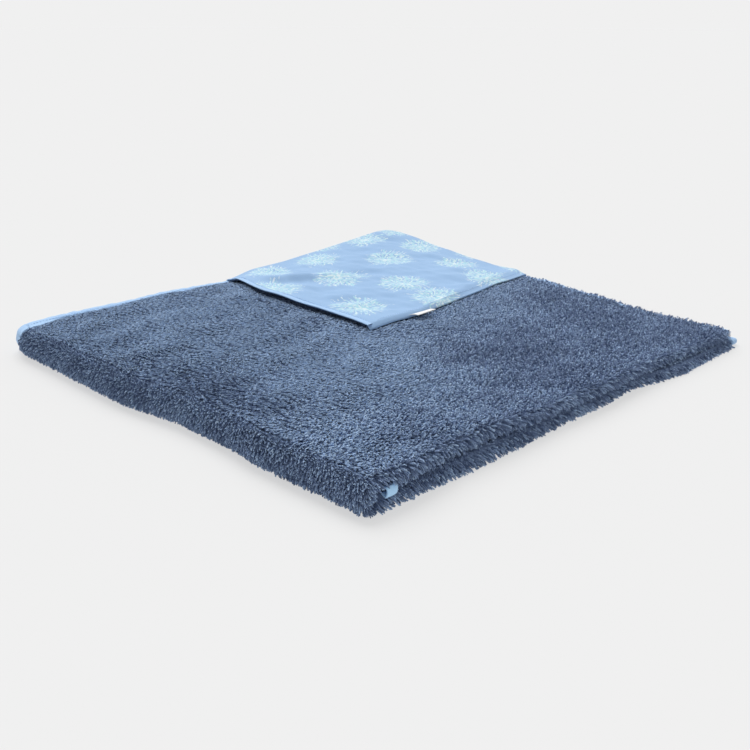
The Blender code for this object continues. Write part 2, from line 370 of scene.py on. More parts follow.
def print_material():
    """Light blue jersey with spiky bursts in white and pale aqua.

    The UV map "burst" is the place from the middle of the nearest burst, and "burst_kind" tells the
    bursts apart.
    """
    material = cloth("printed_jersey_look", (0.33, 0.545, 0.83), 0.85, 0.2, (0.8, 0.9, 1.0))
    n = Nodes(material)
    off_x, off_y = n.split(n.add("ShaderNodeUVMap", uv_map="burst").outputs["UV"])[:2]
    kind = n.split(n.add("ShaderNodeUVMap", uv_map="burst_kind").outputs["UV"])[0]
    place = n.add("ShaderNodeTexCoord").outputs["Object"]
    seeded = n.joined(off_x, off_y, kind)
    x = n.plus(off_x, n.times(n.less(n.noise(seeded, 120, 2), 0.5), 0.0110))
    y = n.plus(off_y, n.times(n.less(n.noise(seeded, 95, 2), 0.5), 0.0110))
    y = n.plus(y, 0.0070)
    radius = n.math("SQRT", n.plus(n.times(x, x), n.times(y, y)))
    angle = n.math("ARCTAN2", y, x)
    across, up = n.math("COSINE", angle), n.math("SINE", angle)
    rim_place = n.joined(n.times(across, 1.5), n.times(up, 1.5), kind)
    rim = n.plus(n.times(n.noise(rim_place, 5.5, 3, 0.9), 0.0440), 0.0010)
    rim = n.plus(rim, n.times(up, 0.0050))

    def strokes(count, shift, thin):
        """Branches that keep about the same thickness, and fork twice as they run outwards."""

        def rays(many, start):
            off = n.math("ABSOLUTE", n.math("SINE", n.plus(n.times(angle, many), start)))
            return n.fall(n.times(off, radius, 1.0 / many), thin * 0.55, thin)

        few = n.times(rays(count, shift), n.fall(radius, 0.0100, 0.0115))
        more = n.times(rays(count * 2, shift * 2), n.ramp(radius, 0.0070, 0.0085))
        more = n.times(more, n.fall(radius, 0.0190, 0.0205))
        most = n.times(rays(count * 3, shift * 3), n.ramp(radius, 0.0150, 0.0165))
        return n.math("MAXIMUM", n.math("MAXIMUM", few, more), most)

    edge = n.fall(n.less(radius, rim), -0.0010, 0.0004)
    inner_edge = n.fall(n.less(radius, n.times(rim, 0.90)), -0.001, 0.0004)
    broken = n.ramp(n.noise(seeded, 300, 2), 0.44, 0.54)
    white = n.times(strokes(7.0, 0.4, 0.00066), edge, broken)
    aqua = n.times(strokes(5.0, 1.1, 0.00115), inner_edge)
    knots = n.ramp(n.noise(seeded, 380, 2), 0.64, 0.70)
    middle = n.fall(radius, 0.005, 0.0145)
    white = n.math("MAXIMUM", white, n.times(knots, middle), clamp=True)

    base = n.mix(n.noise(place, 22, 3), (0.262, 0.420, 0.650), (0.302, 0.464, 0.692))
    colour = n.mix(n.times(aqua, 0.85), base, (0.385, 0.640, 0.720))
    colour = n.mix(n.times(white, 0.80), colour, (0.680, 0.760, 0.790))
    n.paint(colour)
    ribs = n.add("ShaderNodeTexWave", wave_type="BANDS", bands_direction="X")
    n.put(place, ribs.inputs["Vector"])
    ribs.inputs["Scale"].default_value = 480
    ribs.inputs["Distortion"].default_value = 0.8
    n.bump(ribs.outputs["Fac"], 0.35, 0.00012)
    return material


printed = print_material()
lining = cloth("hood_lining_terry", (0.060, 0.088, 0.150), sheen=0.05)


# ---------------------------------------------------------------- the terry's ground cloth


def leaf_section(y, base, count=40):
    """The cloth's own line in one leaf at one y, as (x, z): out along a layer, round, and back."""
    left = LEFT + 0.004
    corner = BACK - CORNER_RADIUS
    if y > corner:
        left += CORNER_RADIUS - math.sqrt(max(CORNER_RADIUS**2 - (y - corner) ** 2, 0))
    nose = float(stack(RIGHT, y)) / 4
    centre = RIGHT - nose
    x = np.linspace(left, centre, count)
    height = stack(x, y)
    turns = np.linspace(-math.pi / 2, math.pi / 2, 13)[1:-1]
    middle = (base + 0.25) * float(stack(centre, y))
    rim = np.stack([centre + 0.5 * nose * np.cos(turns), middle + 0.5 * nose * np.sin(turns)], 1)
    lower = np.stack([x, (base + 0.125) * height], 1)
    upper = np.stack([x, (base + 0.375) * height], 1)
    return np.concatenate([lower, rim, upper[::-1]])


def thicken(made, thickness, offset=0.0):
    solid = made.modifiers.new("thickness", "SOLIDIFY")
    solid.thickness = thickness
    solid.offset = offset


def make_leaf(name, base, body, node):
    straight = np.linspace(HINGE_Y, BACK - CORNER_RADIUS, 44)
    rounded = BACK - CORNER_RADIUS + 0.014 * np.sin(np.linspace(0, math.pi / 2, 7))[1:]
    rows = np.concatenate([straight, rounded])
    rings = []
    for y in rows:
        section = leaf_section(y, base)
        rings.append(np.column_stack([section[:, 0], np.full(len(section), y), section[:, 1]]))
    points = settle(np.concatenate(rings))
    made = mesh_object(name, points, grid_faces(len(rows), len(rings[0])), [ground])
    thicken(made, CLOTH_THICKNESS)
    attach(made, body)
    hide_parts(*node)
    return made


lower_cloth = make_leaf("terry_cloth_lower", 0, LOWER, ["terry_lower_leaf"])
upper_cloth = make_leaf("terry_cloth_upper", 0.5, UPPER, ["terry_upper_leaf"])


def turned(x, r, angle):
    """A point at radius r round the last fold; angle runs from the bottom to the top."""
    return np.stack([x, HINGE_Y - r * np.cos(angle), HINGE_Z + r * np.sin(angle)], -1)


def make_fold_cloth():
    section = leaf_section(HINGE_Y, 0)
    turns = np.linspace(-math.pi / 2, math.pi / 2, 21)
    rings = [turned(section[:, 0], FOLD_RADIUS - section[:, 1], np.full(len(section), a)) for a in turns]
    points = settle(np.concatenate(rings))
    made = mesh_object("terry_cloth_fold", points, grid_faces(len(turns), len(section)), [ground])
    thicken(made, CLOTH_THICKNESS)
    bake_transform(made)
    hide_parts("terry_outer_fold", "terry_inner_fold")
    return made


fold_cloth = make_fold_cloth()


# ---------------------------------------------------------------- the pile


def scatter(u_low, u_high, v_low, v_high, pitch, seed):
    """Rows of points, every other row set over, each a little off its place."""
    random = np.random.default_rng(seed)
    u = np.arange(u_low, u_high, pitch)
    v = np.arange(v_low, v_high, pitch * 0.866)
    uu, vv = np.meshgrid(u, v, indexing="ij")
    uu = uu + (np.arange(len(v)) % 2) * pitch / 2
    uu = uu + random.uniform(-0.45, 0.45, uu.shape) * pitch
    vv = vv + random.uniform(-0.45, 0.45, vv.shape) * pitch
    keep = (uu >= u_low) & (uu <= u_high) & (vv >= v_low) & (vv <= v_high)
    return uu[keep], vv[keep]


def unit(vectors):
    return vectors / np.maximum(np.linalg.norm(vectors, axis=1, keepdims=True), 1e-12)


def loops_mesh(
    name, roots, normals, lean, height, thick, shades, seed, width=0.0010, loose=0.42, align=0.0
):
    """Merged meshes of yarn loops: each is an arch that leans over.

    width is from leg to leg, loose is how far the loops go their own ways, and align is how nearly
    each one stands in line with its lean.
    """
    random = np.random.default_rng(seed)
    count = len(roots)
    way = unit(np.cross(normals, random.normal(size=(count, 3))))
    height = height * random.uniform(0.72, 1.25, count)
    over = lean * random.uniform(0.6, 1.4, (count, 1))
    over = over + (loose * height)[:, None] * way * random.normal(size=(count, 1))
    align = np.broadcast_to(align, count)[:, None]
    across = unit(np.cross(normals, random.normal(size=(count, 3))))
    across = unit((1 - align) * across + align * unit(lean))
    t = np.linspace(0, 1, STATIONS)
    rise = np.sin(math.pi * t) ** 0.75
    spread = np.cos(math.pi * t) * (0.55 + 0.45 * (1 - rise))
    twist = random.normal(size=(count, 1)) * 0.12 * height[:, None] * (1 - 0.7 * align)
    side = np.cross(normals, across)
    centre = (
        roots[:, None, :]
        + normals[:, None, :] * (height[:, None] * rise)[:, :, None]
        + over[:, None, :] * (rise**1.6)[None, :, None]
        + across[:, None, :] * (width / 2 * spread)[None, :, None]
        + side[:, None, :] * (twist * np.sin(2 * math.pi * t)[None, :])[:, :, None]
    )
    outward = unit(normals * [1, 1, 0] + 1e-9)[:, None, :]
    # yarn that would go under the floor is pushed up, and outwards on the sides
    below = np.clip(FLOOR_GAP - centre[:, :, 2], 0, None)
    centre[:, :, 2] += below
    centre += 0.8 * below[:, :, None] * outward * (np.abs(normals[:, 2:3]) < 0.98)[:, None, :]
    along = np.gradient(centre, axis=1)
    along /= np.maximum(np.linalg.norm(along, axis=2, keepdims=True), 1e-12)
    flat = np.cross(along, unit(side + 0.15 * normals)[:, None, :])
    flat /= np.maximum(np.linalg.norm(flat, axis=2, keepdims=True), 1e-12)
    other = np.cross(along, flat)
    size = thick * random.uniform(0.8, 1.2, count)
    corners = []
    for angle in (0.5, 0.5 + 2 * math.pi / 3, 0.5 + 4 * math.pi / 3):
        corners.append(centre + size[:, None, None] * (math.cos(angle) * flat + math.sin(angle) * other))
    points = np.stack(corners, 2)  # loop, station, corner, axis
    faces = grid_faces(STATIONS, 3, True)
    # the legs of a loop are in the shade of the loops round it
    legs = np.zeros(len(faces), int)
    legs[:3] = LEG_SHADE
    legs[-3:] = LEG_SHADE
    made = []
    pieces = max(1, math.ceil(count / PIECE_LOOPS))
    for i, rows in enumerate(np.array_split(np.arange(count), pieces)):
        start = np.arange(len(rows))[:, None, None] * (STATIONS * 3)
        quads = (faces[None] + start).reshape(-1, 4)
        slots = np.clip(shades[rows][:, None] - legs[None, :], 0, len(PILE_COLOURS) - 1).ravel()
        piece = f"{name}_{i + 1}" if pieces > 1 else name
        made.append(mesh_object(piece, points[rows].reshape(-1, 3), quads, pile_materials, slots))
    return made


def tufts(u, v, seed, along, across, terms=14):
    """Smooth unevenness, drawn out along u: where it is low, the pile parts, and the callers paint it darker
    there as painted shade.
    """
    random = np.random.default_rng(seed)
    u = u + 0.25 * along * waves(u, v, 6 * across, seed + 1)
    v = v + 0.25 * across * waves(u, v, 8 * across, seed + 2)
    total = np.zeros(np.broadcast(u, v).shape)
    for _ in range(terms):
        ku = random.choice([-1, 1]) * 2 * math.pi / (along * random.uniform(0.7, 1.5))
        kv = 2 * math.pi / (across * random.uniform(0.7, 1.4))
        total += np.sin(ku * u + kv * v + random.uniform(0, 2 * math.pi))
    return total / math.sqrt(terms / 2)


def parted(tuft):
    """1 where the pile parts, 0 where it is full."""
    return smooth((-0.25 - tuft) / 0.7)


def shades_for(points, seed, shift=0.0):
    """Which of the pile's colours each loop has: shift, which carries the painted light and shade given by
    the caller, some slight patches, and chance.
    """
    random = np.random.default_rng(seed)
    x, y = points[:, 0], points[:, 1] + points[:, 2]
    value = 3.35 + shift + 0.20 * waves(x, y, 0.09, 21) + 0.15 * waves(x, y, 0.022, 22)
    value = value + random.normal(size=len(points)) * 0.95
    return np.clip(np.round(value), 0, len(PILE_COLOURS) - 1).astype(int)


def hood_edge_x(y):
    """The hood's sewn side edge."""
    run = np.clip((BACK - y) / HOOD_LENGTH, -0.05, 1.1)
    return LEFT + 0.1995 - 0.0270 * np.clip(1 - run, 0, 1) ** 1.6


def hood_edge_y(x):
    """The hood's free edge, which is its mouth."""
    s = np.clip((x - LEFT) / HOOD_WIDTH, -0.05, 1.05)
    return BACK - (0.2225 - 0.0190 * (1 - smooth(s / 0.40)) + 0.0010 * np.sin(2 * math.pi * s + 0.6))


def side_drop(x, y):
    """How far the hood comes down towards its sewn side edge."""
    run = (BACK - y) / HOOD_LENGTH
    wide = 0.0035 + 0.0085 * (1 - smooth((run - 0.35) / 0.35))
    return 0.0031 * (1 - smooth((hood_edge_x(y) - x) / wide))


def corner_keep(x, y, margin):
    """True inside the outline that is margin in from the packet's bound edges."""
    a, b = LEFT + CORNER_RADIUS - x, y - (BACK - CORNER_RADIUS)
    inside = (a <= CORNER_RADIUS - margin) & (b <= CORNER_RADIUS - margin)
    corner = (a > 0) & (b > 0)
    return inside & (~corner | (np.hypot(a, b) <= CORNER_RADIUS - margin))


def brushed(x, y):
    """1 at the front and the left, where the pile is brushed over, to 0 where it stands up."""
    return smooth((0.24 - (x + y) + 0.05 * waves(x, y, 0.15, 33)) / 0.38)


def lean_field(x, y):
    """How far the loops lean over, towards +X and a little towards -Y."""
    strength = 0.0046 * brushed(x, y) + 0.0008
    turn = -0.23 - 0.5 * x + 0.06 * waves(x, y, 0.12, 31) + 0.07 * waves(x, y, 0.03, 32)
    return np.stack([strength * np.cos(turn), strength * np.sin(turn), 0 * x], -1)


def left_margin(y):
    """How far the pile stays from the bound side: it covers most of the tape near the hood."""
    over = smooth((y + 0.150) / 0.065) * (1 - 0.8 * bell(y, -0.052, 0.008))
    return 0.0090 - 0.0060 * over + 0.0035 * smooth((-0.165 - y) / 0.025)


# Painted light and shade patches, where the top is painted lighter or darker than the pile round it: (x, y,
# half width in x, in y, shades)
TOP_PAINTED_PATCHES = [
    (0.075, -0.080, 0.060, 0.055, 1.2), (0.032, -0.180, 0.060, 0.034, -2.4),
    (-0.130, -0.150, 0.060, 0.050, 0.45), (0.140, -0.170, 0.045, 0.040, 1.3),
]


def top_painted_light(x, y):
    """Painted light and shade on the top, in shades: lightest towards the left and the front and where the
    pile is brushed over, darker where its pile stands up, and with the painted patches.
    """
    near = 0.50 - 0.95 * (x - LEFT) - 0.35 * (y - FRONT)
    lit = smooth((near + 0.03 * waves(x, y, 0.15, 33)) / 0.34)
    shift = -1.45 + 2.15 * lit + 1.00 * brushed(x, y)
    for middle_x, middle_y, wide, deep, change in TOP_PAINTED_PATCHES:
        away = ((x - middle_x) / wide) ** 2 + ((y - middle_y) / deep) ** 2
        shift = shift + change * np.exp(-away)
    return shift


def on_top(pitch):
    """The pile on the top, which goes only a little way under the hood."""
    x, y = scatter(LEFT + 0.0030, RIGHT - 0.0042, HINGE_Y, BACK - 0.0028, pitch, 41)
    keep = corner_keep(x, y, 0.0028) & (x > LEFT + left_margin(y))
    keep &= x < RIGHT - stack(RIGHT, y) / 4
    keep &= ~((x < hood_edge_x(y) - 0.003) & (y > hood_edge_y(x) + 0.010))
    x, y = x[keep], y[keep]
    brush = brushed(x, y)
    z = stack(x, y) - np.minimum(PILE, 0.17 * stack(x, y)) * (1 - 0.5 * brush)
    roots = np.stack([x, y, z], -1)
    normals = np.tile([0.0, 0.0, 1.0], (len(x), 1))
    side = np.clip((x - LEFT - left_margin(y)) / 0.008, 0, 1)
    tuft = brush * tufts(x, y, 36, 0.015, 0.0050) + (1 - brush) * tufts(x, y, 37, 0.0050, 0.0036)
    gap = parted(tuft)
    height = TOP_LOOP * (0.72 + 0.28 * side) * (1 - 0.52 * brush) * (1 - 0.45 * gap)
    lean = lean_field(x, y)
    lean[:, 1] += 0.0024 * smooth((y - (BACK - 0.008)) / 0.006)
    pocket = (x < hood_edge_x(y) - 0.003) * smooth((y - hood_edge_y(x) - 0.0012) / 0.002)
    height = height * (1 - 0.55 * pocket)
    # painted light and shade: the top's painted light, painted shade inside the hood's pocket and where the
    # pile parts, and painted light on the full tufts
    shift = top_painted_light(x, y) - 4 * pocket - 2.7 * gap + 0.6 * smooth(tuft)
    return loops_mesh(
        "pile_top", settle(roots), normals, lean, height, YARN, shades_for(roots, 42, shift), 43,
        loose=0.42 - 0.34 * brush, align=0.92 * brush,
    )


def on_side(name, base, pitch, seed):
    """The pile round one leaf's first fold: short in the groove between the two folds, and painted darker
    there as painted shade.
    """
    reach = math.pi * 0.0045
    v, y = scatter(-reach / 2, reach / 2, HINGE_Y, BACK - (0.0028 if base else 0.0085), pitch, seed)
    angle = v / reach * math.pi
    nose = stack(RIGHT, y) / 4
    depth = np.minimum(PILE, 0.6 * nose)
    middle = (base + 0.25) * stack(RIGHT - nose, y)
    roots = np.stack(
        [RIGHT - nose + (nose - depth) * np.cos(angle), y, middle + (nose - 0.6 * depth) * np.sin(angle)], -1
    )
    normals = np.stack([np.cos(angle), 0 * y, np.sin(angle)], -1)
    groove = smooth(((angle if base == 0 else -angle) - 0.15) / 0.7) * smooth((y + 0.185) / 0.02)
    sway = 0.0008 * waves(y, angle * 0.01, 0.05, seed + 1)
    lean = np.stack([0.0014 * (1 - groove), sway, np.full(len(y), -0.0020)], -1)
    lean[:, 1] += 0.0024 * smooth((y - (BACK - 0.008)) / 0.006)
    # no pile where the hanging loop comes out
    keep = (np.abs(y - LOOP_Y + 0.0016) >= 0.0060) | (np.abs(roots[:, 2] - LOOP_Z) >= 0.0046)
    roots, normals, lean = roots[keep], normals[keep], lean[keep]
    groove, nose, angle = groove[keep], nose[keep], angle[keep]
    tuft = tufts(angle * 0.0045, roots[:, 1], seed + 5, 0.011, 0.0034)
    gap = parted(tuft)
    height = np.clip(nose / 0.00525, 0.75, 1) * SIDE_LOOP * (1 - 0.42 * groove)
    height = height * (1 - 0.40 * gap + 0.22 * smooth(tuft))
    # painted shade: the side darker than the top but less so towards the front, darker in the groove and
    # where the pile parts
    shift = -0.65 - 0.8 * groove + 0.6 * smooth((-0.09 - roots[:, 1]) / 0.05) - 2.0 * gap
    # and painted shade on the loops near the top of the rounded side
    shades = shades_for(roots, seed + 2, shift - 0.6 * smooth((angle - 0.6) / 0.6))
    return loops_mesh(
        name, settle(roots), normals, lean, height, YARN, shades, seed + 3,
        width=0.0007, loose=0.28, align=0.5,
    )


def on_fold(pitch):
    """The pile round the last fold, with its rounded end at the packet's corner."""
    nose = FOLD_RADIUS / 2
    half = math.pi * FOLD_RADIUS / 2
    v, x = scatter(-half, half, LEFT + 0.0128, RIGHT - nose, pitch, 51)
    angle = v / FOLD_RADIUS
    roots = [turned(x, FOLD_RADIUS - PILE, angle)]
    normals = [np.stack([0 * x, -np.cos(angle), np.sin(angle)], -1)]
    random = np.random.default_rng(52)
    wanted = int(math.pi * nose * math.pi * nose * 1.1 / (0.866 * pitch**2))
    angle = random.uniform(-math.pi / 2, math.pi / 2, 3 * wanted)
    tilt = random.uniform(-0.45 * math.pi, math.pi / 2, 3 * wanted)
    r = nose + nose * np.sin(tilt)
    keep = random.uniform(0, 2 * nose, 3 * wanted) < r
    angle, tilt, r = angle[keep], tilt[keep], r[keep]
    core = nose - PILE
    roots.append(turned(RIGHT - nose + core * np.cos(tilt), nose + core * np.sin(tilt), angle))
    normals.append(
        np.stack([np.cos(tilt), -np.sin(tilt) * np.cos(angle), np.sin(tilt) * np.sin(angle)], -1)
    )
    roots, normals = np.concatenate(roots), np.concatenate(normals)
    lean = np.tile([0.0030, -0.0012, -0.0012], (len(roots), 1))
    tuft = tufts(roots[:, 2], roots[:, 0], 55, 0.011, 0.0036)
    gap = parted(tuft)
    height = FOLD_LOOP * (1 - 0.35 * gap)
    # a little darker all over, and painted shade where the pile parts
    shades = shades_for(roots, 53, -0.25 - 1.8 * gap)
    return loops_mesh(
        "pile_fold", settle(roots), normals, lean, height, YARN, shades, 54,
        width=0.0008, loose=0.16, align=0.8,
    )


def on_face(name, share, down, pile, pitch, seed):
    """A coarser pile on a face that is hidden while the towel is folded, or that it lies on."""
    x, y = scatter(LEFT + 0.0060, RIGHT - 0.0042, HINGE_Y + 0.0004, BACK - 0.0060, pitch, seed)
    keep = corner_keep(x, y, 0.0060) & (x < RIGHT - stack(RIGHT, y) / 4)
    x, y = x[keep], y[keep]
    way = -1.0 if down else 1.0
    depth = np.minimum(pile, 0.17 * stack(x, y))
    roots = np.stack([x, y, share * stack(x, y) - way * depth], -1)
    normals = np.tile([0.0, 0.0, way], (len(x), 1))
    lean = lean_field(x, y) * 0.8
    shades = shades_for(roots, seed + 1)
    return loops_mesh(
        name, settle(roots), normals, lean, depth * 0.92, COARSE_YARN, shades, seed + 2, width=0.0022
    )


upper_pile = on_top(PITCH) + on_side("pile_side_upper", 0.5, PITCH, 61)
upper_pile += on_face("pile_inner_upper", 0.5, True, INNER_PILE, INNER_PITCH, 71)
lower_pile = on_side("pile_side_lower", 0, PITCH, 66)
lower_pile += on_face("pile_inner_lower", 0.5, False, INNER_PILE, INNER_PITCH, 76)
lower_pile += on_face("pile_underside", 0.0, True, UNDER_PILE, UNDER_PITCH, 81)
for piece in upper_pile:
    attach(piece, UPPER)
for piece in lower_pile:
    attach(piece, LOWER)
fold_pile = on_fold(PITCH)
for piece in fold_pile:
    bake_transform(piece)


# ---------------------------------------------------------------- the edge binding


def tape_section(thick, wide):
    """(inward, normal) points of a tape folded round an edge, with a dent where it is sewn."""
    turns = np.linspace(math.pi / 2, 3 * math.pi / 2, 9)
    nose = 0.0020
    half = thick / 2
    outer = np.stack([nose + nose * np.cos(turns), half * np.sin(turns)], 1)
    sew = wide - 0.0015
    lower = np.array(
        [[sew * 0.55, -half * 0.98], [sew, -half * 0.62], [wide, -half * 0.80], [wide, -half * 0.2]]
    )
    upper = lower[::-1] * [1, -1]
    return np.concatenate([outer, lower, upper])


def bound_edge(step=0.003):
    """Stations along one layer's bound edge seen from above: place, and the inward direction."""
    y = np.arange(HINGE_Y, BACK - CORNER_RADIUS, step)
    places = [np.stack([np.full(len(y), LEFT), y], 1)]
    inward = [np.tile([1.0, 0.0], (len(y), 1))]
    turns = np.linspace(0, math.pi / 2, 12)
    out = np.stack([-np.cos(turns), np.sin(turns)], 1)
    places.append(np.array([LEFT + CORNER_RADIUS, BACK - CORNER_RADIUS]) + CORNER_RADIUS * out)
    inward.append(-out)
    nose = float(stack(RIGHT, BACK)) / 4
    x = np.arange(LEFT + CORNER_RADIUS + step, RIGHT - nose, step)
    places.append(np.stack([x, np.full(len(x), BACK)], 1))
    inward.append(np.tile([0.0, -1.0], (len(x), 1)))
    return np.concatenate(places), np.concatenate(inward)


def tape_rings(edge, inward, normal, thick, seed, wide):
    """A ring of points at each station. edge is the middle of the layer at its very edge."""
    run = run_along(edge)
    rings = []
    wide = np.broadcast_to(wide, len(edge))
    for i in range(len(edge)):
        section = tape_section(thick[i], wide[i])
        ripple = 1 + 0.10 * waves(run[i] + 0 * section[:, 0], section[:, 0] * 0.7, 0.012, seed)
        rings.append(
            edge[i] + section[:, :1] * inward[i] + (section[:, 1] * ripple)[:, None] * normal[i]
        )
    return np.stack(rings)


def capped(rings):
    """Faces of a swept ring as quads, with its two ends closed by fans of quads."""
    rows, columns = rings.shape[:2]
    points = rings.reshape(-1, 3)
    faces = [grid_faces(rows, columns, True)]
    for row, flip in ((0, True), (rows - 1, False)):
        j = np.arange(columns // 2 - 1)
        fan = row * columns + np.stack([j, j + 1, columns - 2 - j, columns - 1 - j], -1)
        faces.append(fan[:, ::-1] if flip else fan)
    return points, np.concatenate(faces)


def layer_thickness(x, y):
    return 0.25 * stack(x, y) * TAPE_FILL


def leaf_binding(name, base, body, node, seed):
    """The tape round one leaf: along its lower layer, round the end of its first fold, and back."""
    places, inward = bound_edge()
    flat = np.concatenate([inward, np.zeros((len(inward), 1))], 1)
    up = np.tile([0.0, 0.0, 1.0], (len(flat), 1))

    def layer(share):
        height = (share + 0.125) * stack(places[:, 0], places[:, 1])
        edge = np.column_stack([places, height])
        return edge, flat, up, layer_thickness(places[:, 0], places[:, 1])

    low = layer(base)
    high = layer(base + 0.25)
    nose = float(stack(RIGHT, BACK)) / 4
    turns = np.linspace(-math.pi / 2, math.pi / 2, 9)[1:-1]
    centre_z = (base + 0.25) * float(stack(RIGHT - nose, BACK))
    round_x = RIGHT - nose + nose / 2 * np.cos(turns)
    round_z = centre_z + nose / 2 * np.sin(turns)
    round_edge = np.column_stack([round_x, np.full(len(turns), BACK), round_z])
    round_in = np.tile([0.0, -1.0, 0.0], (len(turns), 1))
    round_up = np.stack([-np.cos(turns), 0 * turns, -np.sin(turns)], 1)
    edge = np.concatenate([low[0], round_edge, high[0][::-1]])
    inside = np.concatenate([low[1], round_in, high[1][::-1]])
    normal = np.concatenate([low[2], round_up, -high[2][::-1]])
    thick = np.concatenate([low[3], np.full(len(turns), nose * TAPE_FILL), high[3][::-1]])
    # the tape spreads where it comes to the last fold
    wide = BINDING_WIDTH + 0.0050 * smooth((-0.160 - edge[:, 1]) / 0.025)
    points, faces = capped(tape_rings(edge, inside, normal, thick, seed, wide))
    points = settle(points)
    # the bound end of the first fold stands out past the pile
    tip = smooth((points[:, 0] - (RIGHT - 0.016)) / 0.012)
    tip *= smooth((points[:, 1] - (BACK - 0.022)) / 0.012)
    points[:, :2] += (0.0028 if base == 0 else 0.0018) * tip[:, None]
    made = mesh_object(name, points, faces, [tape])
    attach(made, body)
    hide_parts(node)
    return made


lower_binding = leaf_binding("edge_tape_lower", 0, LOWER, "binding_lower_leaf", 91)
upper_binding = leaf_binding("edge_tape_upper", 0.5, UPPER, "binding_upper_leaf", 92)


def fold_binding(name, radius, node, seed):
    turns = np.linspace(-math.pi / 2, math.pi / 2, 25)
    edge = turned(np.full(len(turns), LEFT), radius, turns)
    inside = np.tile([1.0, 0.0, 0.0], (len(turns), 1))
    normal = np.stack([0 * turns, -np.cos(turns), np.sin(turns)], 1)
    thick = np.full(len(turns), FOLD_RADIUS / 2 * TAPE_FILL)
    points, faces = capped(tape_rings(edge, inside, normal, thick, seed, FOLD_TAPE_WIDTH))
    made = mesh_object(name, settle(points), faces, [tape])
    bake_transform(made)
    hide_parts(node)
    return made


fold_tape_outer = fold_binding("edge_tape_fold_outer", 0.75 * FOLD_RADIUS, "binding_outer_fold", 93)
fold_tape_inner = fold_binding("edge_tape_fold_inner", 0.25 * FOLD_RADIUS, "binding_inner_fold", 94)


# ---------------------------------------------------------------- the hood


def hood_height(x, y):
    """Height of the hood's outer face: the towel, the pocket's two layers, and soft wrinkles."""
    run = BACK - y
    phase = 2 * math.pi * (run * 0.80 + (x - LEFT) * 0.45) / 0.050
    crease = 0.0016 * np.sin(phase + 1.3 * waves(x, y, 0.12, 101))
    crease *= 0.5 + 0.5 * np.clip(waves(x, y, 0.14, 102), -1, 1)
    fine = 0.00030 * waves(x, y * 1.6, 0.022, 103)
    inside = smooth((x - LEFT - 0.004) / 0.03) * smooth((BACK - y - 0.004) / 0.03)
    inside *= smooth((hood_edge_x(y) - x) / 0.02)
    mouth = smooth((y - hood_edge_y(x)) / 0.03)
    height = stack(x, y) + HOOD_LIFT + puff(x, y) + (crease + fine) * inside * (0.15 + 0.85 * mouth)
    across = np.clip((x - LEFT) / HOOD_WIDTH, 0, 1)
    bow = 0.0010 * np.sin(math.pi * across) ** 2 * (1 - mouth)
    return height + bow - 0.0036 * (1 - smooth(across / 0.12)) * (1 - mouth)


def hood_grid(step, over=0.0055):
    """Plan places of the hood with its outer edges rolled over, and how far each point drops."""
    roll = 0.0032  # the radius of the rolled edges
    keep = 0.02  # how much of the hood next to them isn't stretched
    rolled = np.linspace(-over, 0.012, 14)
    u = np.concatenate([rolled, np.arange(0.0135, HOOD_WIDTH, step), [HOOD_WIDTH]])
    v = np.concatenate([rolled, np.arange(0.0135, HOOD_LENGTH, step), [HOOD_LENGTH]])
    uu, vv = np.meshgrid(u, v, indexing="ij")
    a, b = CORNER_RADIUS - uu, CORNER_RADIUS - vv
    corner = (a > 0) & (b > 0)
    length = np.hypot(a, b)
    far = np.maximum(a, b)
    out_x = np.where(corner, a / np.maximum(length, 1e-9), np.where(a > b, 1.0, 0.0))
    out_y = np.where(corner, b / np.maximum(length, 1e-9), np.where(a > b, 0.0, 1.0))
    inset = CORNER_RADIUS - far
    turn = np.clip((roll - inset) / roll, 0, math.pi / 2)
    drop = roll * (1 - np.cos(turn)) + np.maximum((roll - inset) - roll * math.pi / 2, 0)
    reach = np.where(inset < roll, CORNER_RADIUS - roll + roll * np.sin(turn), far)
    x = np.where(corner, LEFT + CORNER_RADIUS - out_x * reach, LEFT + uu)
    y = np.where(corner, BACK - CORNER_RADIUS + out_y * reach, BACK - vv)
    straight_left = ~corner & (a > b) & (inset < roll)
    straight_back = ~corner & (a <= b) & (inset < roll)
    x = np.where(straight_left, LEFT + CORNER_RADIUS - reach, x)
    y = np.where(straight_back, BACK - CORNER_RADIUS + reach, y)
    stretch = (hood_edge_x(y) - LEFT - keep) / (HOOD_WIDTH - keep)
    x = np.where(x > LEFT + keep, LEFT + keep + (x - LEFT - keep) * stretch, x)
    stretch = (BACK - hood_edge_y(x) - keep) / (HOOD_LENGTH - keep)
    y = np.where(y < BACK - keep, BACK - keep - (BACK - keep - y) * stretch, y)
    return uu, vv, x, y, drop + side_drop(x, y)


# The middles of the print's bursts, from the hood's two outer edges (millimetres)
BURSTS = [
    (9, 46), (64, 15), (28, 124), (77, 72), (133, 34), (27, 183), (89, 145), (185, 50), (143, 120),
    (73, 208), (187, 127), (157, 190), (8, -2), (118, -14), (-14, 92), (180, -12),
]


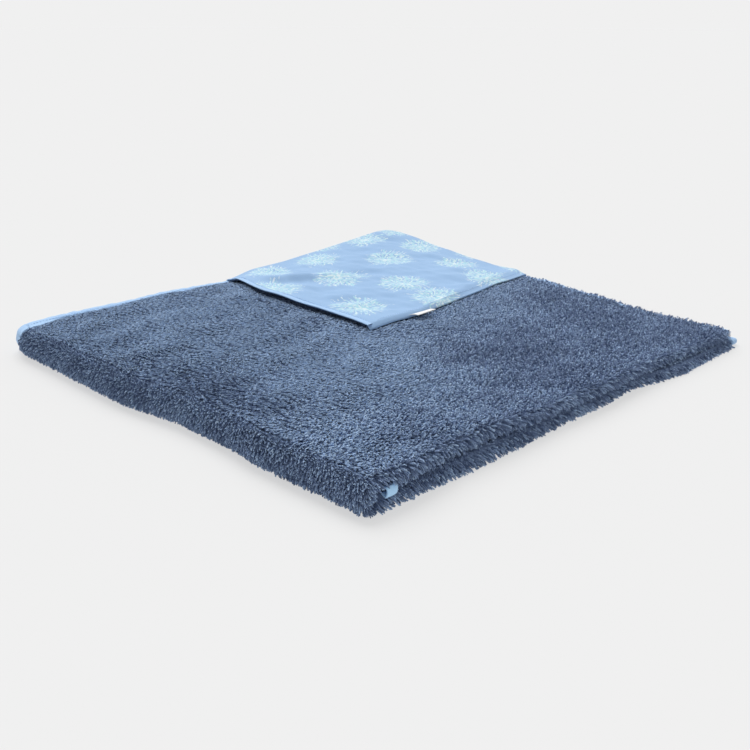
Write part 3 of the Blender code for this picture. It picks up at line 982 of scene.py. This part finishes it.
def make_hood():
    uu, vv, x, y, drop = hood_grid(0.0017)
    z = hood_height(x, y) - drop
    points = np.stack([x, y, z], -1).reshape(-1, 3)
    faces = grid_faces(*uu.shape)
    made = mesh_object("hood_printed_cloth", settle(points), faces, [printed])
    flat = np.stack([uu.ravel(), vv.ravel()], 1)
    middles = flat[faces].mean(1)
    bursts = np.array(BURSTS) / 1000
    nearest = np.argmin(((middles[:, None, :] - bursts[None]) ** 2).sum(2), 1)
    off = flat[faces] - bursts[nearest][:, None, :]
    turn = (np.sin(nearest * 12.9) * 0.5 - 0.78)[:, None]
    cos, sin = np.cos(turn), np.sin(turn)
    local = np.stack([off[..., 0] * cos + off[..., 1] * sin, off[..., 0] * sin - off[..., 1] * cos], -1)
    kinds = np.zeros(local.shape)
    kinds[..., 0] = (nearest * 0.37 + 0.2)[:, None]
    for name, values in (("burst", local), ("burst_kind", kinds)):
        layer = made.data.uv_layers.new(name=name)
        layer.data.foreach_set("uv", values.reshape(-1).astype(np.float32))
    thicken(made, 0.0009, -1)
    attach(made, UPPER)
    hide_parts("hood_printed_panel")
    return made


def make_lining():
    uu, vv, x, y, drop = hood_grid(0.004, 0.0)
    # a little inside the printed cloth
    x = LEFT + 0.002 + (x - LEFT) * 0.98
    z = hood_height(x, y) - 0.0012 - 0.9 * drop
    y = y - 0.0022 + 0.0032 * np.clip((BACK - y) / HOOD_LENGTH, 0, 1)
    points = np.stack([x, y, z], -1).reshape(-1, 3)
    made = mesh_object("hood_lining_cloth", settle(points), grid_faces(*uu.shape), [lining])
    thicken(made, 0.0010, -1)
    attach(made, UPPER)
    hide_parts("hood_lining")
    return made


hood = make_hood()
hood_inner = make_lining()


def make_mouth_tape():
    """The tape folded over the hood's free edge, which stands off the towel most near its middle."""
    s = np.linspace(0.0, 1.0, 90)
    x = LEFT + 0.0045 + s * (HOOD_WIDTH - 0.0066)
    y = hood_edge_y(x)
    half = 0.00045 * (0.75 + 0.25 * smooth(s / 0.1))
    middle = hood_height(x, y) + 0.0004 - half
    turns = np.linspace(math.pi / 2, 3 * math.pi / 2, 9)
    outer = np.stack([0.0009 + 0.0009 * np.cos(turns), np.sin(turns)], 1)
    back = np.array([[0.0040, -0.9], [0.0044, -0.4], [0.0044, 0.7], [0.0040, 0.97]])
    inward, up = np.concatenate([outer, back]).T  # metres, and halves of the tape's thickness
    rings = np.stack(
        [x[:, None] + 0 * up, (y - 0.0011)[:, None] + inward, middle[:, None] + half[:, None] * up], -1
    )
    faces = grid_faces(len(s), len(up), True)
    made = mesh_object("hood_mouth_tape", settle(rings.reshape(-1, 3)), faces, [tape])
    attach(made, UPPER)
    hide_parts("hood_mouth_binding")
    return made


mouth_tape = make_mouth_tape()


# ---------------------------------------------------------------- the label and the loop


def make_label():
    seam_x, middle_y = LEFT + HOOD_WIDTH + 0.0003, BACK - LABEL_FROM_BACK
    seam_z = float(stack(seam_x, middle_y)) + 0.0032
    tilt = math.radians(14)
    aa, bb = np.meshgrid(np.linspace(0, 1, 14), np.linspace(-1, 1, 30), indexing="ij")
    along = -0.004 + 0.0094 * aa
    bend = 0.0010 * np.sin(math.pi * aa) + 0.0005 * bb * aa
    x = seam_x + along * math.cos(tilt)
    y = middle_y + 0.0098 * bb
    z = seam_z - 0.0002 + along * math.sin(tilt) + bend * 0.6
    points = np.stack([x, y, z], -1).reshape(-1, 3)
    made = mesh_object("blank_label", points, grid_faces(*aa.shape), [white_label])
    thicken(made, 0.0005, -1)
    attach(made, LABEL)
    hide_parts("woven_label")
    return made


label = make_label()


def make_loop():
    """The hanging loop: a bight of tape that comes out between the two folds and goes back in."""
    turns = np.linspace(-math.pi / 2, math.pi / 2, 41)
    tt, aa = np.meshgrid(turns, np.linspace(-1, 1, 13), indexing="ij")
    reach, half, wide = 0.0048, 0.0041, 0.00375
    closing = 1 - 0.50 * np.abs(np.sin(tt)) ** 8
    x = RIGHT - 0.0012 + reach * np.cos(tt) ** 0.8 + 0.0003 * np.cos(2 * aa + tt)
    y = LOOP_Y + wide * aa + 0.0002 * np.sin(3 * tt)
    z = LOOP_Z + half * np.sin(tt) * closing + 0.0004 * aa * np.cos(tt)
    points = np.stack([x, y, z], -1).reshape(-1, 3)
    made = mesh_object("hanging_loop_tape", points, grid_faces(*tt.shape), [lit_loop_tape])
    thicken(made, 0.0009, -1)
    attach(made, LOWER)
    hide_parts("hanging_loop")
    return made


loop = make_loop()


# ---------------------------------------------------------------- the sewing thread


def stitches(name, path, way, body, sink=0.0):
    """A row of stitches along a path: each is a low arch of thread with both ends in the cloth.

    way is 1 on a face that looks up, and -1 on one that looks down.
    """
    run = run_along(path)
    starts = np.arange(0, run[-1] - STITCH, STITCH)
    t = np.linspace(0, 1, 6)
    place = starts[:, None] + 0.78 * STITCH * t[None, :]
    centre = np.stack([np.interp(place, run, path[:, k]) for k in range(3)], -1)
    centre[:, :, 2] += way * (np.sin(math.pi * t)[None, :] * 0.00038 - sink - 0.00008)
    up = np.tile([0.0, 0.0, float(way)], (len(starts), 1))
    along = unit(centre[:, -1] - centre[:, 0])
    side = unit(np.cross(up, along))
    corners = []
    for angle in np.arange(6) * math.pi / 3:
        corners.append(centre + THREAD * (math.cos(angle) * side + math.sin(angle) * up)[:, None, :])
    points = np.stack(corners, 2)
    faces = grid_faces(len(t), 6, True)[None] + (np.arange(len(starts)) * len(t) * 6)[:, None, None]
    made = mesh_object(name, points.reshape(-1, 3), faces.reshape(-1, 4), [thread])
    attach(made, body)
    return made


def binding_stitches(name, share, way, body):
    """The seam along a tape's inner edge, on one face of one layer."""
    places, inward = bound_edge()
    inset = places + inward * (BINDING_WIDTH - 0.0018)
    middle = (share + 0.125) * stack(places[:, 0], places[:, 1])
    z = middle + way * 0.5 * layer_thickness(places[:, 0], places[:, 1]) * 0.86
    return stitches(name, settle(np.column_stack([inset, z])), way, body)


seam_top = binding_stitches("seam_tape_top", 0.75, 1, UPPER)
seam_upper = binding_stitches("seam_tape_upper_inside", 0.5, -1, UPPER)
seam_lower = binding_stitches("seam_tape_lower_inside", 0.25, 1, LOWER)
seam_under = binding_stitches("seam_tape_underside", 0.0, -1, LOWER)


def mouth_seam():
    x = LEFT + 0.006 + np.linspace(0, 1, 120) * (HOOD_WIDTH - 0.012)
    y = hood_edge_y(x) + 0.0036
    path = settle(np.column_stack([x, y, hood_height(x, y) + 0.0005]))
    return stitches("seam_hood_mouth", path, 1, UPPER, sink=0.0003)


def side_seam():
    y = BACK - 0.006 - np.linspace(0, 1, 120) * (HOOD_LENGTH - 0.012)
    x = hood_edge_x(y) - 0.0052
    path = settle(np.column_stack([x, y, hood_height(x, y) - side_drop(x, y)]))
    return stitches("seam_hood_side", path, 1, UPPER, sink=0.0001)


seam_mouth = mouth_seam()
seam_side = side_seam()

# ---------------------------------------------------------------- floor, light and camera


def make_floor():
    size = 30.0
    mesh = bpy.data.meshes.new("floor")
    corners = [(-size, -size, 0), (size, -size, 0), (size, size, 0), (-size, size, 0)]
    mesh.from_pydata(corners, [], [(0, 1, 2, 3)])
    material = bpy.data.materials.new("floor")
    material.use_nodes = True
    shader = material.node_tree.nodes["Principled BSDF"]
    shader.inputs["Base Color"].default_value = (0.24, 0.24, 0.24, 1)
    shader.inputs["Emission Color"].default_value = (1, 1, 1, 1)
    shader.inputs["Emission Strength"].default_value = 0.565
    shader.inputs["Roughness"].default_value = 1.0
    shader.inputs["Specular IOR Level"].default_value = 0.0
    mesh.materials.append(material)
    made = bpy.data.objects.new("floor", mesh)
    bpy.context.scene.collection.objects.link(made)


def make_light():
    scene = bpy.context.scene
    world = bpy.data.worlds.new("studio")
    world.use_nodes = True
    tree = world.node_tree
    background = tree.nodes["Background"]
    way = tree.nodes.new("ShaderNodeTexCoord")
    split = tree.nodes.new("ShaderNodeSeparateXYZ")
    tree.links.new(way.outputs["Generated"], split.inputs[0])
    ramp = tree.nodes.new("ShaderNodeValToRGB")
    ramp.color_ramp.elements[0].position = 0.03
    ramp.color_ramp.elements[0].color = (0.871, 0.871, 0.871, 1)
    ramp.color_ramp.elements[1].position = 0.20
    ramp.color_ramp.elements[1].color = (0.58, 0.58, 0.58, 1)
    tree.links.new(split.outputs[2], ramp.inputs[0])
    tree.links.new(ramp.outputs[0], background.inputs[0])
    background.inputs[1].default_value = 1.0
    scene.world = world
    sun = bpy.data.lights.new("key", "SUN")
    sun.energy = 2.75
    sun.angle = math.radians(50)
    lamp = bpy.data.objects.new("key", sun)
    # the light comes from the camera's upper left and a little from behind the towel
    from_way = Vector((-0.80, 0.40, 1.15)).normalized()
    lamp.rotation_euler = from_way.to_track_quat("Z", "Y").to_euler()
    scene.collection.objects.link(lamp)
    scene.view_settings.view_transform = "Standard"


def make_camera():
    azimuth, elevation, roll = math.radians(45.08), math.radians(19.86), math.radians(0.15)
    distance, shift_x, shift_y = 0.742, -0.0046, -0.0219
    level = math.cos(elevation)
    back = Vector((math.sin(azimuth) * level, -math.cos(azimuth) * level, math.sin(elevation)))
    right = Vector((math.cos(azimuth), math.sin(azimuth), 0))
    up = back.cross(right)
    target = right * shift_x + up * shift_y
    turned_right = right * math.cos(roll) + up * math.sin(roll)
    turned_up = up * math.cos(roll) - right * math.sin(roll)
    data = bpy.data.cameras.new("camera")
    data.sensor_width = 36
    data.lens = 47.06
    camera = bpy.data.objects.new("camera", data)
    axes = Matrix((turned_right, turned_up, back)).transposed().to_4x4()
    axes.translation = target + back * distance
    camera.matrix_world = axes
    bpy.context.scene.collection.objects.link(camera)
    bpy.context.scene.camera = camera


make_floor()
make_light()
make_camera()
